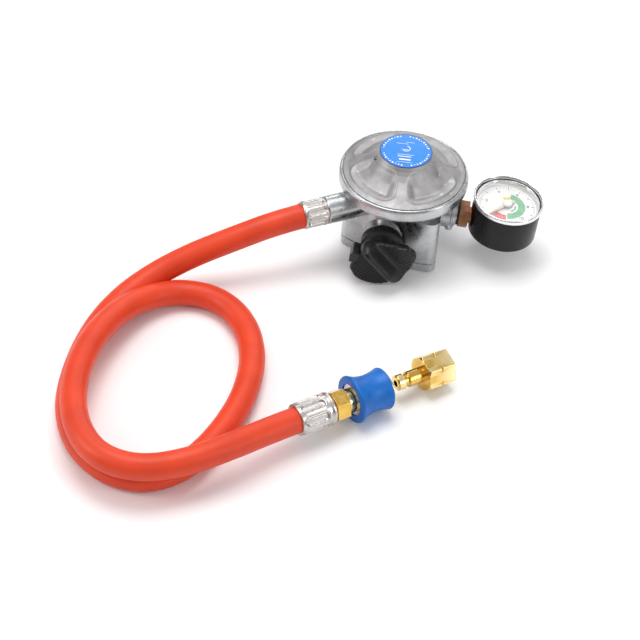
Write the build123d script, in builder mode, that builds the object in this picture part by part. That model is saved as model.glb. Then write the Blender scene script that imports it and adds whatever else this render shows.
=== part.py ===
"""Propane regulator with pressure gauge, 0.75 m hose, quick coupler and plug.

Millimetres, +Z up. The origin is the centre of the valve socket's mouth, in the
plane that the regulator stands on. The knob points along -Y and the gauge along +X.
"""
from build123d import *
from math import cos, pi, radians, sin, tan
import os

os.makedirs("parts", exist_ok=True)

# ---------------------------------------------------------------- driving dimensions
SOCKET_R = 13.6            # socket for a 27 mm clip-on cylinder valve
SOCKET_DEPTH = 9.2
COVER_TOP = 6.3            # seam between the base cover and the casting
SEAM_GAP = 0.5
SKIRT_TOP = 38.0
FLANGE_R = 38.5
FLANGE_TOP = 55.2
LID_R = 36.3
DIAPHRAGM_Z = 49.6
HUB_R = 15.8
HUB_TOP = 70.0

PILLAR_ANGLES = (192, 312, 72)
PILLAR_TIP = 35.0
PILLAR_R = 5.0
SIDE_REACH = 22.8          # centre of each bowed wall of the skirt
SCREW_R = 1.7

KNOB_X = -8.0
KNOB_Z = 20.5
KNOB_FACE = 26.2           # back of the knob, along -Y
KNOB_SKIRT_R = 13.0
KNOB_GRIP_R = 19.8
BOSS_FACE = 25.0

PIN_TRAVEL = 3.06
CAM_THROW = 2.0
CAM_START = 50.0           # cam angle above level with the valve shut
CAM_R = 5.0

PIVOT_X = -9.5             # lever pivot
PIVOT_Z = 44.3
NOZZLE_X = -13.0

PORT_Z = 27.0
GAUGE_DROOP = 4.0          # degrees below level
GAUGE_REACH = 28.7
GAUGE_R = 20.6
CASE_LOW = -7.5            # heights above the port's axis, along the gauge's own axis
CASE_TOP = 15.0
DIAL_LEVEL = 11.0
POINTER_LEVEL = DIAL_LEVEL + 1.3
LENS_LEVEL = CASE_TOP + 0.6
BEZEL_TOP = CASE_TOP + 3.0
BEZEL_R = 21.4
POINTER_ZERO = 225         # degrees round from the outward direction, pointer at zero

OUTLET_ANGLE = 209.5
OUTLET_Z = 38.5
STUB_R = 8.5
STUB_END = 50.5
FERRULE_END = 65.5
BARB_END = 64.0

HOSE_R = 7.5
HOSE_BORE = 4.2

COUPLER_ANGLE = 37.7
COUPLER_DROOP = 3.0
COUPLER_ORIGIN = Vector(-41.5, -175.3, 16.0)
SLEEVE_BACK = 35.6
SLEEVE_FRONT = 57.6
BODY_FRONT = 59.5
PLUG_R = 4.6
PLUG_BORE = 4.75
PLUG_TIP = 65.5
PLUG_HEX = 82.7
PLUG_END = 100.0

# ---------------------------------------------------------------- planes and axes
knob_section = Plane(origin=(KNOB_X, 0, KNOB_Z), x_dir=(0, -1, 0), z_dir=(1, 0, 0))
knob_axis = Axis((KNOB_X, 0, KNOB_Z), (0, -1, 0))

port_point = Vector(34.5, 0, PORT_Z)
port_dir = Vector(cos(radians(GAUGE_DROOP)), 0, -sin(radians(GAUGE_DROOP)))
gauge_up = Vector(sin(radians(GAUGE_DROOP)), 0, cos(radians(GAUGE_DROOP)))
port_section = Plane(origin=port_point, x_dir=port_dir, z_dir=(0, 1, 0))
port_axis = Axis(port_point, port_dir)
gauge_centre = port_point + port_dir * GAUGE_REACH
gauge_section = Plane(origin=gauge_centre, x_dir=port_dir, z_dir=(0, -1, 0))
gauge_axis = Axis(gauge_centre, gauge_up)

outlet_dir = Vector(cos(radians(OUTLET_ANGLE)), sin(radians(OUTLET_ANGLE)), 0)
outlet_section = Plane(origin=(0, 0, OUTLET_Z), x_dir=outlet_dir, z_dir=Vector(0, 0, 1).cross(outlet_dir))
outlet_axis = Axis((0, 0, OUTLET_Z), outlet_dir)

coupler_side = Vector(-sin(radians(COUPLER_ANGLE)), cos(radians(COUPLER_ANGLE)), 0)
coupler_dir = Vector(cos(radians(COUPLER_ANGLE)), sin(radians(COUPLER_ANGLE)), -tan(radians(COUPLER_DROOP)))
coupler_dir = coupler_dir.normalized()
coupler_section = Plane(origin=COUPLER_ORIGIN, x_dir=coupler_dir, z_dir=coupler_side)
coupler_axis = Axis(COUPLER_ORIGIN, coupler_dir)


def knob_at(distance):
    """Plane across the knob's shaft, so far out along it; local Y is up."""
    return Plane(origin=(KNOB_X, -distance, KNOB_Z), x_dir=(1, 0, 0), z_dir=(0, -1, 0))


def port_at(distance):
    """Plane across the gauge port."""
    return Plane(origin=port_point + port_dir * distance, x_dir=(0, 1, 0), z_dir=port_dir)


def gauge_at(height):
    """Plane across the gauge, so far above the port's axis; local X points outward."""
    return Plane(origin=gauge_centre + gauge_up * height, x_dir=port_dir, z_dir=gauge_up)


def outlet_at(distance):
    """Plane across the outlet, so far from the regulator's axis."""
    return Plane(origin=Vector(0, 0, OUTLET_Z) + outlet_dir * distance, x_dir=(0, 0, 1), z_dir=outlet_dir)


def coupler_at(distance):
    """Plane across the coupler, so far from the hose end of its ferrule; local Y is up."""
    return Plane(origin=COUPLER_ORIGIN + coupler_dir * distance, x_dir=coupler_side, z_dir=coupler_dir)


def coupler_spoke(angle):
    """A direction square to the coupler's axis, that many degrees round from its side."""
    across = coupler_at(0)
    return across.x_dir * cos(radians(angle)) + across.y_dir * sin(radians(angle))


# ---------------------------------------------------------------- shared outlines
def outline(*points, mode=Mode.ADD):
    """A straight-sided closed face in the sketch that is being drawn."""
    with BuildLine() as border:
        Polyline(*points, close=True)
    make_face(border.edges(), mode=mode)


def band(low, high, inner, outer):
    """A rectangle in a section sketch: from low to high along the axis, inner to outer radius."""
    outline((low, inner), (high, inner), (high, outer), (low, outer))


def upright(inner, outer, low, high):
    """The same for a section in the XZ plane, where the axis is Z."""
    outline((inner, low), (outer, low), (outer, high), (inner, high))


def polar(radius, angle):
    return Vector(radius * cos(radians(angle)), radius * sin(radians(angle)))


def skirt_outline():
    """Rounded triangle: three screw pillars joined by bowed walls."""
    spread = 48
    middle = PILLAR_TIP - PILLAR_R
    with BuildLine() as border:
        for angle in PILLAR_ANGLES:
            centre = polar(middle, angle)
            leave = centre + polar(PILLAR_R, angle + spread)
            meet = polar(middle, angle + 120) + polar(PILLAR_R, angle + 120 - spread)
            ThreePointArc(centre + polar(PILLAR_R, angle - spread), polar(PILLAR_TIP, angle), leave)
            ThreePointArc(leave, polar(SIDE_REACH, angle + 60), meet)
    make_face(border.edges())


def coil(plane, radius, wire, length, turns):
    """A spring's wire, swept inside the part that is being built."""
    with BuildLine():
        helix = Helix(pitch=length / turns, height=length, radius=radius, center=plane.origin,
                      direction=plane.z_dir)
    with BuildSketch(Plane(origin=helix @ 0, z_dir=helix % 0)) as section:
        Circle(wire / 2)
    sweep(section.sketch, path=helix, is_frenet=True)


# ================================================================ regulator
with BuildPart() as base_cover:
    with BuildSketch():
        skirt_outline()
    extrude(amount=COVER_TOP - SEAM_GAP / 2)
    chamfer(base_cover.faces().sort_by(Axis.Z)[0].outer_wire().edges(), length=0.8)
    with Locations((0, 0, 0)):
        Cylinder(18.5, 20, mode=Mode.SUBTRACT)
    with PolarLocations(PILLAR_TIP - PILLAR_R, 3, start_angle=PILLAR_ANGLES[0]):
        Cylinder(SCREW_R + 0.05, 20, mode=Mode.SUBTRACT)
        Cylinder(3.2, 6.6, mode=Mode.SUBTRACT)
base_cover.part.label = "base_cover"
export_step(base_cover.part, "parts/base_cover.step")

chamber_floor = 11.7
chamber_roof = 27.4
with BuildPart() as body_casting:
    with BuildSketch(Plane.XY.offset(COVER_TOP + SEAM_GAP / 2)):
        skirt_outline()
    extrude(amount=SKIRT_TOP - COVER_TOP)
    # bowl under the diaphragm, with its crimped rim
    with BuildSketch(Plane.XZ):
        outline((0, 34), (24, 36), (29, 41), (36.6, 46.4), (FLANGE_R, 48.2),
                (FLANGE_R, FLANGE_TOP - 0.9), (FLANGE_R - 0.9, FLANGE_TOP), (0, FLANGE_TOP))
    revolve(axis=Axis.Z)
    # bosses for the knob, the gauge port and the outlet
    with BuildSketch(knob_section):
        band(8, BOSS_FACE, 0, 11.8)
    revolve(axis=knob_axis)
    with BuildSketch(port_section):
        band(-14, -3.8, 0, 9.6)
        band(-4, 0, 0, 7.3)
    revolve(axis=port_axis)
    with BuildSketch(outlet_section):
        band(14, 38.9, 0, STUB_R)
    revolve(axis=outlet_axis)
    # low-pressure chamber and the pocket for the lever
    with BuildSketch(Plane.XZ):
        outline((0, 36.2), (19, 36.2), (19, 41), (22, 41.6), (31.5, 47.5), (31.5, DIAPHRAGM_Z - 0.1),
                (LID_R + 0.15, DIAPHRAGM_Z - 0.1), (LID_R + 0.15, 60), (0, 60))
    revolve(axis=Axis.Z, mode=Mode.SUBTRACT)
    # ears that carry the lever's pin
    with BuildSketch(Plane.XY.offset(36.0)):
        with Locations((PIVOT_X, 4.0), (PIVOT_X, -4.0)):
            Rectangle(3.6, 2.0)
    extrude(amount=PIVOT_Z + 1.8 - 36.0)
    with BuildSketch(Plane.XZ.offset(-6)):
        with Locations((PIVOT_X, PIVOT_Z)):
            Circle(1.0)
    extrude(amount=12, mode=Mode.SUBTRACT)
    # high-pressure chamber, its passages and the nozzle's thread
    with BuildSketch(Plane.XY.offset(chamber_floor)):
        with Locations((-5, 0)):
            Rectangle(20, 10)
    extrude(amount=chamber_roof - chamber_floor, mode=Mode.SUBTRACT)
    with BuildSketch(Plane.XY.offset(chamber_roof - 0.5)):
        with Locations((NOZZLE_X, 0)):
            Circle(1.8)
    extrude(amount=2, mode=Mode.SUBTRACT)
    with BuildSketch(Plane.XY.offset(28.4)):
        with Locations((NOZZLE_X, 0)):
            Circle(3.55)
    extrude(amount=10, mode=Mode.SUBTRACT)
    with BuildSketch(Plane.YZ.offset(4)):
        with Locations((0, 25.8)):
            Circle(1.2)
    extrude(amount=25, mode=Mode.SUBTRACT)
    with BuildSketch(port_section):
        band(-8, 1, 0, 5.0)
    revolve(axis=port_axis, mode=Mode.SUBTRACT)
    with BuildSketch(outlet_section):
        band(14, 26, 0, 3.4)
        band(25, 40, 0, 5.05)
    revolve(axis=outlet_axis, mode=Mode.SUBTRACT)
    # bores for the spindle: gland at the front, bearing at the back
    with BuildSketch(knob_section):
        band(4, 30, 0, 7.2)
        band(-9.2, 4, 0, 2.85)
    revolve(axis=knob_axis, mode=Mode.SUBTRACT)
    # socket side: collar, seal groove and the opening pin's hole
    with BuildSketch(Plane.XZ):
        upright(0, 18.6, 5, SOCKET_DEPTH + 0.2)
        upright(4.9, 8.5, SOCKET_DEPTH, 11.0)
        upright(0, 3.0, SOCKET_DEPTH, chamber_floor + 1)
    revolve(axis=Axis.Z, mode=Mode.SUBTRACT)
    with BuildSketch(Plane.XY.offset(COVER_TOP - 1)):
        with PolarLocations(PILLAR_TIP - PILLAR_R, 3, start_angle=PILLAR_ANGLES[0]):
            Circle(SCREW_R + 0.05)
    extrude(amount=12, mode=Mode.SUBTRACT)
body_casting.part.label = "body_casting"
export_step(body_casting.part, "parts/body_casting.step")

with BuildPart() as cover_screws:
    with BuildSketch(Plane.XY.offset(0.9)):
        with PolarLocations(PILLAR_TIP - PILLAR_R, 3, start_angle=PILLAR_ANGLES[0]):
            Circle(3.0)
            RegularPolygon(1.3, 6, mode=Mode.SUBTRACT)
    extrude(amount=2.3)
    with BuildSketch(Plane.XY.offset(2.4)):
        with PolarLocations(PILLAR_TIP - PILLAR_R, 3, start_angle=PILLAR_ANGLES[0]):
            Circle(SCREW_R)
    extrude(amount=14)
cover_screws.part.label = "cover_screws"
export_step(cover_screws.part, "parts/cover_screws.step")

# locking collar: the socket's wall, with four blind pockets for the balls
BALL_R = 2.0
BALL_RING = 16.05
with BuildPart() as locking_collar:
    with BuildSketch(Plane.XZ):
        outline((SOCKET_R, 0.3), (SOCKET_R + 0.3, 0), (18.4, 0), (18.4, SOCKET_DEPTH), (SOCKET_R, SOCKET_DEPTH))
    revolve(axis=Axis.Z)
    for turn in range(4):
        pocket = polar(14.0, 45 + 90 * turn)
        with BuildSketch(Plane(origin=(pocket.X, pocket.Y, 5), z_dir=pocket)):
            Circle(BALL_R + 0.05)
        extrude(amount=6, mode=Mode.SUBTRACT)
locking_collar.part.label = "locking_collar"
export_step(locking_collar.part, "parts/locking_collar.step")

with BuildPart() as locking_balls:
    with Locations((0, 0, 5)):
        with PolarLocations(BALL_RING, 4, start_angle=45):
            Sphere(BALL_R)
locking_balls.part.label = "locking_balls"
export_step(locking_balls.part, "parts/locking_balls.step")

with BuildPart() as valve_seal:
    with BuildSketch(Plane.XZ):
        upright(5.0, 8.4, SOCKET_DEPTH + 0.1, 10.9)
    revolve(axis=Axis.Z)
    fillet(valve_seal.edges().group_by(Axis.Z)[0], radius=0.5)
valve_seal.part.label = "valve_seal"
export_step(valve_seal.part, "parts/valve_seal.step")

# opening pin: its crossbar reaches from the centre to the cam beside it
cam_rise = CAM_THROW * sin(radians(CAM_START))
bar_top = KNOB_Z + cam_rise - CAM_R - 0.15
with BuildPart() as opening_pin:
    with BuildSketch(Plane.XY.offset(bar_top - 1.9)):
        with Locations((-4.5, 0)):
            RectangleRounded(16, 7.2, 1.5)
    extrude(amount=1.9)
    with BuildSketch(Plane.XY.offset(9.5)):
        Circle(2.2)
    extrude(amount=bar_top - 1.9 - 9.5)
    chamfer(opening_pin.edges().group_by(Axis.Z)[0], length=0.6)
opening_pin.part.label = "opening_pin"
export_step(opening_pin.part, "parts/opening_pin.step")

with BuildPart() as cam_shaft:
    with BuildSketch(knob_section):
        outline((-9, 0), (-9, 2.8), (4.6, 2.8), (4.6, 4), (26.0, 4), (26.0, 0))
    revolve(axis=knob_axis)
    with BuildSketch(knob_at(-4)):
        with Locations((CAM_THROW * cos(radians(CAM_START)), cam_rise)):
            Circle(CAM_R)
    extrude(amount=8)
    with BuildSketch(knob_at(25.9)):
        Rectangle(5.6, 5.6)
    extrude(amount=12)
cam_shaft.part.label = "cam_shaft"
export_step(cam_shaft.part, "parts/cam_shaft.step")

with BuildPart() as spindle_bush:
    with BuildSketch(knob_section):
        band(6, BOSS_FACE, 4.05, 7.15)
        outline((13, 4), (15, 4), (15, 6), (13, 6), mode=Mode.SUBTRACT)
    revolve(axis=knob_axis)
spindle_bush.part.label = "spindle_bush"
export_step(spindle_bush.part, "parts/spindle_bush.step")

with BuildPart() as spindle_seal:
    with BuildSketch(knob_section):
        with Locations((14, 5.02)):
            Circle(0.9)
    revolve(axis=knob_axis)
spindle_seal.part.label = "spindle_seal"
export_step(spindle_seal.part, "parts/spindle_seal.step")

# knob: round skirt, neck, grip disc with two finger hollows beside a slanting bar
bar_angle = -48
with BuildPart() as knob:
    with BuildSketch(knob_section):
        outline((KNOB_FACE, 0), (KNOB_FACE, KNOB_SKIRT_R), (32, KNOB_SKIRT_R), (33.5, 11.5), (38, 11.5),
                (41, KNOB_GRIP_R - 1), (45, KNOB_GRIP_R), (47, KNOB_GRIP_R - 1), (47, 0))
    revolve(axis=knob_axis)
    with BuildSketch(knob_at(46)):
        with Locations(Rotation(0, 0, bar_angle)):
            SlotOverall(34, 8.5)
    extrude(amount=6.5)
    with BuildSketch(knob_at(43.5)):
        with Locations(Rotation(0, 0, bar_angle)):
            with Locations((0, 11.5), (0, -11.5)):
                Ellipse(13, 6)
    extrude(amount=6, mode=Mode.SUBTRACT)
    with BuildSketch(knob_at(KNOB_FACE - 1)):
        Rectangle(5.7, 5.7)
    extrude(amount=13.4, mode=Mode.SUBTRACT)
    with BuildSketch(Plane(origin=(KNOB_X, -35.5, KNOB_Z), z_dir=(0, 0, -1))):
        Circle(1.55)
    extrude(amount=14, mode=Mode.SUBTRACT)
knob.part.label = "knob"
export_step(knob.part, "parts/knob.step")

with BuildPart() as knob_screw:
    with BuildSketch(Plane(origin=(KNOB_X, -35.5, KNOB_Z - 2.9), z_dir=(0, 0, -1))):
        Circle(1.5)
    extrude(amount=7.6)
    with BuildSketch(Plane(origin=(KNOB_X, -35.5, KNOB_Z - 10.5), z_dir=(0, 0, 1))):
        RegularPolygon(0.8, 6)
    extrude(amount=2, mode=Mode.SUBTRACT)
knob_screw.part.label = "knob_screw"
export_step(knob_screw.part, "parts/knob_screw.step")

with BuildPart() as inlet_nozzle:
    with BuildSketch(Plane(origin=(NOZZLE_X, 0, 0), x_dir=(1, 0, 0), z_dir=(0, -1, 0))):
        outline((1.2, 28.5), (3.5, 28.5), (3.5, 36.2), (2.6, 36.6), (2.6, 40.3), (1.7, 41.15), (1.2, 41.15))
    revolve(axis=Axis((NOZZLE_X, 0, 0), (0, 0, 1)))
inlet_nozzle.part.label = "inlet_nozzle"
export_step(inlet_nozzle.part, "parts/inlet_nozzle.step")

with BuildPart() as lever_pin:
    with BuildSketch(Plane.XZ.offset(-5.0)):
        with Locations((PIVOT_X, PIVOT_Z)):
            Circle(1.0)
    extrude(amount=10)
lever_pin.part.label = "lever_pin"
export_step(lever_pin.part, "parts/lever_pin.step")

with BuildPart() as lever:
    with BuildSketch(Plane.XY.offset(PIVOT_Z - 0.7)):
        with Locations((-6.6, 0)):
            RectangleRounded(18.2, 3.0, 1.2)
        with Locations((NOZZLE_X, 0)):
            Circle(2.8)
    extrude(amount=1.4)
    with BuildSketch(Plane.XZ.offset(-2.7)):
        with Locations((PIVOT_X, PIVOT_Z)):
            Circle(1.6)
    extrude(amount=5.4)
    with BuildSketch(Plane.XZ.offset(-3)):
        with Locations((PIVOT_X, PIVOT_Z)):
            Circle(1.05)
    extrude(amount=6, mode=Mode.SUBTRACT)
lever.part.label = "lever"
export_step(lever.part, "parts/lever.step")

with BuildPart() as seat_pad:
    with BuildSketch(Plane.XY.offset(42.1)):
        with Locations((NOZZLE_X, 0)):
            Circle(1.9)
    extrude(amount=PIVOT_Z - 0.7 - 42.1)
seat_pad.part.label = "seat_pad"
export_step(seat_pad.part, "parts/seat_pad.step")

with BuildPart() as diaphragm:
    with BuildSketch(Plane.XZ):
        outline((3.8, 49.6), (20, 49.6), (22.5, 50.2), (28.5, 50.2), (30.5, 49.6), (36.2, 49.6),
                (36.2, 50.5), (31, 50.5), (28.8, 51.2), (22, 51.2), (19.6, 50.5), (3.8, 50.5))
    revolve(axis=Axis.Z)
diaphragm.part.label = "diaphragm"
export_step(diaphragm.part, "parts/diaphragm.step")

# plate above the diaphragm and the slotted stem that works the lever
with BuildPart() as diaphragm_plate:
    with BuildSketch(Plane.XZ):
        outline((0, 41.2), (3.6, 41.2), (3.6, 48.2), (8, 48.2), (8, 49.5), (3.6, 49.5), (3.6, 50.6),
                (17, 50.6), (17, 51.8), (6.6, 51.8), (6.6, 53.4), (0, 53.4))
    revolve(axis=Axis.Z)
    with BuildSketch(Plane.XY.offset(42.8)):
        Rectangle(9, 3.6)
    extrude(amount=2.9, mode=Mode.SUBTRACT)
diaphragm_plate.part.label = "diaphragm_plate"
export_step(diaphragm_plate.part, "parts/diaphragm_plate.step")

with BuildPart() as pressure_spring:
    coil(Plane.XY.offset(52.9), radius=9.0, wire=1.8, length=9.9, turns=4)
pressure_spring.part.label = "pressure_spring"
export_step(pressure_spring.part, "parts/pressure_spring.step")

with BuildPart() as cover_lid:
    with BuildSketch(Plane.XZ):
        outline((LID_R, 50.7), (LID_R, 54.4), (LID_R - 0.8, 55.2), (19.0, 65.2), (17.2, 66.6),
                (HUB_R, HUB_TOP), (13.4, HUB_TOP), (13.4, 63.9), (16.0, 63.2), (31.5, 53.8), (31.5, 50.7))
    revolve(axis=Axis.Z)
cover_lid.part.label = "cover_lid"
export_step(cover_lid.part, "parts/cover_lid.step")

with BuildPart() as adjuster_cap:
    with BuildSketch(Plane.XZ):
        outline((0, 65.4), (6.2, 65.4), (6.2, 64.0), (13.3, 64.0), (13.3, 69.6), (0, 69.6))
    revolve(axis=Axis.Z)
    with BuildSketch(Plane.XY.offset(66.6)):
        RegularPolygon(5.0, 6)
    extrude(amount=4, mode=Mode.SUBTRACT)
adjuster_cap.part.label = "adjuster_cap"
export_step(adjuster_cap.part, "parts/adjuster_cap.step")

with BuildPart() as label_disc:
    with BuildSketch(Plane.XY.offset(HUB_TOP + 0.02)):
        Circle(15.3)
    extrude(amount=0.45)
label_disc.part.label = "label_disc"
export_step(label_disc.part, "parts/label_disc.step")

# ================================================================ pressure gauge
with BuildPart() as gauge_washer:
    with BuildSketch(port_section):
        band(0.05, 1.3, 5.0, 7.2)
    revolve(axis=port_axis)
gauge_washer.part.label = "gauge_washer"
export_step(gauge_washer.part, "parts/gauge_washer.step")

with BuildPart() as gauge_connector:
    with BuildSketch(port_section):
        band(-7, 12.5, 0, 4.9)
    revolve(axis=port_axis)
    with BuildSketch(port_at(1.4)):
        RegularPolygon(15 / 2, 6, major_radius=False, rotation=10)
    extrude(amount=5.6)
    with BuildSketch(port_at(12.4)):
        Rectangle(8, 9)
    extrude(amount=4)
    with BuildSketch(port_section):
        band(-8, 14, 0, 1.3)
    revolve(axis=port_axis, mode=Mode.SUBTRACT)
gauge_connector.part.label = "gauge_connector"
export_step(gauge_connector.part, "parts/gauge_connector.step")

with BuildPart() as gauge_case:
    with BuildSketch(gauge_section):
        outline((0, CASE_LOW), (GAUGE_R - 1, CASE_LOW), (GAUGE_R, CASE_LOW + 1), (GAUGE_R, CASE_TOP),
                (GAUGE_R - 1.2, CASE_TOP), (GAUGE_R - 1.2, CASE_LOW + 1.5), (0, CASE_LOW + 1.5))
    revolve(axis=gauge_axis)
    with BuildSketch(port_at(5)):
        Circle(5.0)
    extrude(amount=7, mode=Mode.SUBTRACT)
gauge_case.part.label = "gauge_case"
export_step(gauge_case.part, "parts/gauge_case.step")

with BuildPart() as gauge_bezel:
    with BuildSketch(gauge_section):
        outline((BEZEL_R, CASE_TOP + 0.1), (BEZEL_R, BEZEL_TOP - 0.6), (BEZEL_R - 0.5, BEZEL_TOP),
                (BEZEL_R - 2.4, BEZEL_TOP), (BEZEL_R - 2.4, BEZEL_TOP - 0.8), (BEZEL_R - 1.3, BEZEL_TOP - 0.8), (BEZEL_R - 1.3, CASE_TOP + 0.1))
    revolve(axis=gauge_axis)
gauge_bezel.part.label = "gauge_bezel"
export_step(gauge_bezel.part, "parts/gauge_bezel.step")

with BuildPart() as gauge_lens:
    with BuildSketch(gauge_at(LENS_LEVEL)):
        Circle(BEZEL_R - 1.4)
    extrude(amount=1.5)
gauge_lens.part.label = "gauge_lens"
export_step(gauge_lens.part, "parts/gauge_lens.step")

with BuildPart() as gauge_dial:
    with BuildSketch(gauge_at(DIAL_LEVEL)):
        Circle(GAUGE_R - 1.4)
        Circle(1.4, mode=Mode.SUBTRACT)
    extrude(amount=0.6)
gauge_dial.part.label = "gauge_dial"
export_step(gauge_dial.part, "parts/gauge_dial.step")

with BuildPart() as bourdon_tube:
    with BuildLine(gauge_at(0)):
        bow = CenterArc((0, 0), 13.6, 194, 262)
    with BuildSketch(Plane(origin=bow @ 0, z_dir=bow % 0)):
        Circle(1.7)
    sweep(path=bow)
bourdon_tube.part.label = "bourdon_tube"
export_step(bourdon_tube.part, "parts/bourdon_tube.step")

with BuildPart() as gauge_movement:
    for level in (-4.6, 3.6):
        with BuildSketch(gauge_at(level)):
            RectangleRounded(16, 10, 2)
            Circle(0.85, mode=Mode.SUBTRACT)
        extrude(amount=1.0)
    with BuildSketch(gauge_at(-3.7)):
        with Locations((-6, 3), (6, -3)):
            Circle(1.3)
    extrude(amount=7.4)
gauge_movement.part.label = "gauge_movement"
export_step(gauge_movement.part, "parts/gauge_movement.step")

with BuildPart() as pointer_shaft:
    with BuildSketch(gauge_at(-4.4)):
        Circle(0.8)
    extrude(amount=POINTER_LEVEL + 5.3)
    with BuildSketch(gauge_at(-1.2)):
        Circle(2.0)
    extrude(amount=2.4)
pointer_shaft.part.label = "pointer_shaft"
export_step(pointer_shaft.part, "parts/pointer_shaft.step")

with BuildPart() as gauge_pointer:
    with BuildSketch(gauge_at(POINTER_LEVEL)):
        blade = [(-6, -1.2), (0, -1.0), (14.5, -0.3), (14.5, 0.3), (0, 1.0), (-6, 1.2)]
        outline(*[Vector(x, y).rotate(Axis.Z, POINTER_ZERO) for x, y in blade])
        Circle(2.4)
        Circle(0.82, mode=Mode.SUBTRACT)
    extrude(amount=0.4)
gauge_pointer.part.label = "gauge_pointer"
export_step(gauge_pointer.part, "parts/gauge_pointer.step")

cap_level = POINTER_LEVEL + 0.45
with BuildPart() as pointer_cap:
    with BuildSketch(gauge_section):
        outline((0.82, cap_level), (2.9, cap_level), (2.9, cap_level + 1.1), (2.3, cap_level + 1.6),
                (0, cap_level + 1.6), (0, cap_level + 0.6), (0.82, cap_level + 0.6))
    revolve(axis=gauge_axis)
pointer_cap.part.label = "pointer_cap"
export_step(pointer_cap.part, "parts/pointer_cap.step")

# ================================================================ hose and its ends
with BuildPart() as outlet_tail:
    with BuildSketch(outlet_section):
        outline((26.5, 2.8), (26.5, 5), (39, 5), (39, STUB_R), (STUB_END - 0.5, STUB_R), (STUB_END, STUB_R - 0.5),
                (STUB_END, 4.1), (BARB_END - 1, 4.1), (BARB_END, 3.6), (BARB_END, 2.8))
    revolve(axis=outlet_axis)
outlet_tail.part.label = "outlet_tail"
export_step(outlet_tail.part, "parts/outlet_tail.step")

with BuildPart() as outlet_ferrule:
    with BuildSketch(outlet_section):
        outline((STUB_END + 0.1, 7.6), (STUB_END + 0.1, 8.2), (FERRULE_END - 0.4, 8.2), (FERRULE_END, 7.9),
                (FERRULE_END, 7.6))
    revolve(axis=outlet_axis)
outlet_ferrule.part.label = "outlet_ferrule"
export_step(outlet_ferrule.part, "parts/outlet_ferrule.step")

# the hose leaves level, sinks to the table, goes once round, climbs on its own
# first turn, rides on it, crosses it at the lower right and comes down to the coupler
route = [
    outlet_at(STUB_END + 0.1).origin,
    outlet_at(78).origin,
    Vector(-95, -51, 31),
    Vector(-119, -60, 22),
    Vector(-140, -72, 13.5),
    Vector(-156, -90, 8.5),
    Vector(-166, -116, 7.5),
    Vector(-170, -146, 7.5),
    Vector(-169, -177, 7.5),
    Vector(-158, -204, 7.5),
    Vector(-138, -221, 7.5),
    Vector(-116, -224, 7.5),
    Vector(-96, -211, 7.5),
    Vector(-81, -184, 7.5),
    Vector(-72, -152, 7.5),
    Vector(-72, -120, 7.5),
    Vector(-82, -94, 7.5),
    Vector(-100, -78, 7.5),
    Vector(-122, -76, 7.8),
    Vector(-142, -89, 11.5),
    Vector(-156, -114, 18),
    Vector(-164, -145, 23),
    Vector(-165, -178, 23.2),
    Vector(-157, -206, 23.2),
    Vector(-141, -225, 23.2),
    Vector(-118, -230, 23.2),
    Vector(-94, -221, 23.2),
    Vector(-72, -204, 21.5),
    coupler_at(-11).origin,
    coupler_at(12).origin,
]
radii = []
for before, corner, after in zip(route, route[1:], route[2:]):
    shorter = min((corner - before).length, (after - corner).length)
    turn = (corner - before).get_angle(after - corner)
    radii.append(0.45 * shorter / tan(radians(turn / 2)))
print("hose arc radii:", [round(radius) for radius in radii])

with BuildPart() as hose:
    with BuildLine():
        run = FilletPolyline(*route, radius=radii)
    with BuildSketch(Plane(origin=run @ 0, z_dir=run % 0)):
        Circle(HOSE_R)
    sweep(path=run)
    swept_volume = hose.part.volume
    with BuildSketch(outlet_section):
        band(STUB_END, BARB_END + 0.1, 0, HOSE_BORE)
    revolve(axis=outlet_axis, mode=Mode.SUBTRACT)
    with BuildSketch(coupler_section):
        band(-0.2, 20, 0, HOSE_BORE)
    revolve(axis=coupler_axis, mode=Mode.SUBTRACT)
hose.part.label = "hose"
export_step(hose.part, "parts/hose.step")
print("hose length:", round(run.length, 1), "swept volume over section x length:",
      round(swept_volume / (pi * HOSE_R**2 * run.length), 4))

with BuildPart() as coupler_ferrule:
    with BuildSketch(coupler_section):
        outline((0, 7.6), (0, 8.7), (0.6, 9.2), (19, 9.2), (19.6, 9.5), (21.6, 9.5), (21.6, 5.2), (20, 5.2),
                (20, 7.6))
    revolve(axis=coupler_axis)
coupler_ferrule.part.label = "coupler_ferrule"
export_step(coupler_ferrule.part, "parts/coupler_ferrule.step")

with BuildPart() as coupler_tail:
    with BuildSketch(coupler_section):
        outline((0, 2.6), (0, 3.6), (1, 4.1), (12.1, 4.1), (12.1, 7.4), (19.9, 7.4), (19.9, 5.1),
                (21.7, 5.1), (21.7, 7.0), (23, 7.0), (34.9, 6.0), (34.9, 2.6))
    revolve(axis=coupler_axis)
    with BuildSketch(coupler_at(22.8)):
        RegularPolygon(8.0, 6, major_radius=False, rotation=15)
        Circle(5.5, mode=Mode.SUBTRACT)
    extrude(amount=8.2)
    with BuildSketch(coupler_section):
        band(31.0, 35.5, 6.0, 12)
    revolve(axis=coupler_axis, mode=Mode.SUBTRACT)
coupler_tail.part.label = "coupler_tail"
export_step(coupler_tail.part, "parts/coupler_tail.step")

# ================================================================ quick coupler
ball_centre = coupler_at(48.8).origin

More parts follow.
